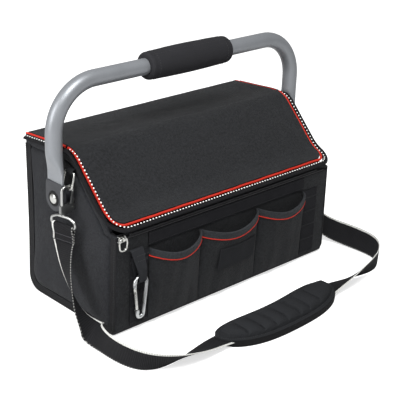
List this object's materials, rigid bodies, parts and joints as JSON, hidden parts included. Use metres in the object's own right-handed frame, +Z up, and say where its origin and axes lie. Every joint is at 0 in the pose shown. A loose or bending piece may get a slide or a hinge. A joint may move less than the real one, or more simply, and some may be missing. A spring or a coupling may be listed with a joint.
{
  "type": "tool bag",
  "caption": "Fabric tool bag with a zipped folding lid, a swinging tube handle with a foam grip, front pockets, a carabiner on a loop and a padded shoulder strap on snap hooks.",
  "frame": {"origin": "middle of the bag's base, on the floor", "axes": "+X to the right along the bag, +Y to the back, +Z up; the pockets face -Y"},
  "size_m": [0.5759, 0.3654, 0.3783],
  "materials": {
    "body_fabric": "dark grey woven polyester over foam, matte",
    "webbing": "black ribbed webbing",
    "red_piping": "red cord piping, satin",
    "plated_steel": "bright nickel plate",
    "moulded_plastic": "black moulded plastic",
    "zip_plastic": "black moulded zip teeth",
    "grey_tube": "grey satin tube",
    "foam_rubber": "black foam rubber",
    "pad_foam": "black mesh over foam"
  },
  "bodies": {
    "bag": {"base_panel": "body_fabric", "front_panel": "body_fabric", "back_panel": "body_fabric", "left_end_panel": "body_fabric", "right_end_panel": "body_fabric", "left_end_binding": "body_fabric", "right_end_binding": "body_fabric", "front_band": "webbing", "left_ladder_webbing": "webbing", "right_ladder_webbing": "webbing", "pocket_left": "body_fabric", "pocket_centre": "body_fabric", "pocket_right": "body_fabric", "pocket_left_binding": "webbing", "pocket_centre_binding": "webbing", "pocket_right_binding": "webbing", "pocket_patch": "webbing", "carabiner_loop": "webbing", "left_ring_tab": "webbing", "right_ring_tab": "webbing", "left_d_ring": "plated_steel", "right_d_ring": "plated_steel", "left_hook_body": "plated_steel", "right_hook_body": "plated_steel", "left_hook_eye": "plated_steel", "right_hook_eye": "plated_steel", "left_strap_turn": "webbing", "right_strap_turn": "webbing", "shoulder_strap": "webbing", "shoulder_pad": "pad_foam", "pad_backing": "webbing", "zip_lower_teeth": "zip_plastic", "left_pivot_rivet": "plated_steel", "right_pivot_rivet": "plated_steel", "left_pivot_spacer": "moulded_plastic", "right_pivot_spacer": "moulded_plastic", "left_pivot_plate": "plated_steel", "right_pivot_plate": "plated_steel"},
    "handle": {"handle_tube": "grey_tube", "handle_grip": "foam_rubber", "left_handle_boot": "moulded_plastic", "right_handle_boot": "moulded_plastic"},
    "lid_rear": {"lid_rear_panel": "body_fabric", "left_rear_piping": "red_piping", "right_rear_piping": "red_piping", "left_rear_hem": "body_fabric", "right_rear_hem": "body_fabric"},
    "lid_front": {"lid_front_panel": "body_fabric", "lid_front_piping": "red_piping", "lid_front_hem": "body_fabric", "zip_upper_teeth": "zip_plastic"},
    "slider": {"zip_slider": "plated_steel"},
    "puller": {"zip_puller": "plated_steel"},
    "carabiner": {"carabiner_body": "plated_steel"},
    "carabiner_gate_lever": {"carabiner_gate": "plated_steel"},
    "left_gate_lever": {"left_hook_gate": "plated_steel"},
    "right_gate_lever": {"right_hook_gate": "plated_steel"}
  },
  "joints": [
    {"name": "handle_swing", "type": "hinge", "parent": "bag", "child": "handle", "pos_m": [0, 0.01, 0.187], "axis": [-1, 0, 0], "range_deg": [0, 115]},
    {"name": "lid_back_hinge", "type": "hinge", "parent": "bag", "child": "lid_rear", "pos_m": [0, 0.105, 0.2529], "axis": [-1, 0, 0], "range_deg": [0, 20]},
    {"name": "lid_ridge_hinge", "type": "hinge", "parent": "lid_rear", "child": "lid_front", "pos_m": [0, 0.014, 0.2582], "axis": [-1, 0, 0], "range_deg": [0, 95]},
    {"name": "zip_slide", "type": "slide", "parent": "bag", "child": "slider", "axis": [1, 0, 0], "range_m": [0, 0.434]},
    {"name": "puller_swing", "type": "hinge", "parent": "slider", "child": "puller", "pos_m": [-0.2205, -0.1128, 0.1582], "axis": [-1, 0, 0], "range_deg": [0, 85]},
    {"name": "carabiner_swing", "type": "hinge", "parent": "bag", "child": "carabiner", "pos_m": [-0.1885, -0.1138, 0.0905], "axis": [-1, 0, 0], "range_deg": [0, 30]},
    {"name": "carabiner_gate_hinge", "type": "hinge", "parent": "carabiner", "child": "carabiner_gate_lever", "pos_m": [-0.19447, -0.1138, 0.033], "axis": [0, 1, 0], "range_deg": [0, 20], "stiffness_Nm_per_rad": 0.02, "springref_deg": -20.05},
    {"name": "left_hook_gate_hinge", "type": "hinge", "parent": "bag", "child": "left_gate_lever", "pos_m": [-0.2355, -0.013, 0.1795], "axis": [0, -1, 0], "range_deg": [0, 25], "stiffness_Nm_per_rad": 0.01, "springref_deg": -20.05},
    {"name": "right_hook_gate_hinge", "type": "hinge", "parent": "bag", "child": "right_gate_lever", "pos_m": [0.2355, -0.013, 0.1795], "axis": [0, 1, 0], "range_deg": [0, 25], "stiffness_Nm_per_rad": 0.01, "springref_deg": -20.05}
  ]
}
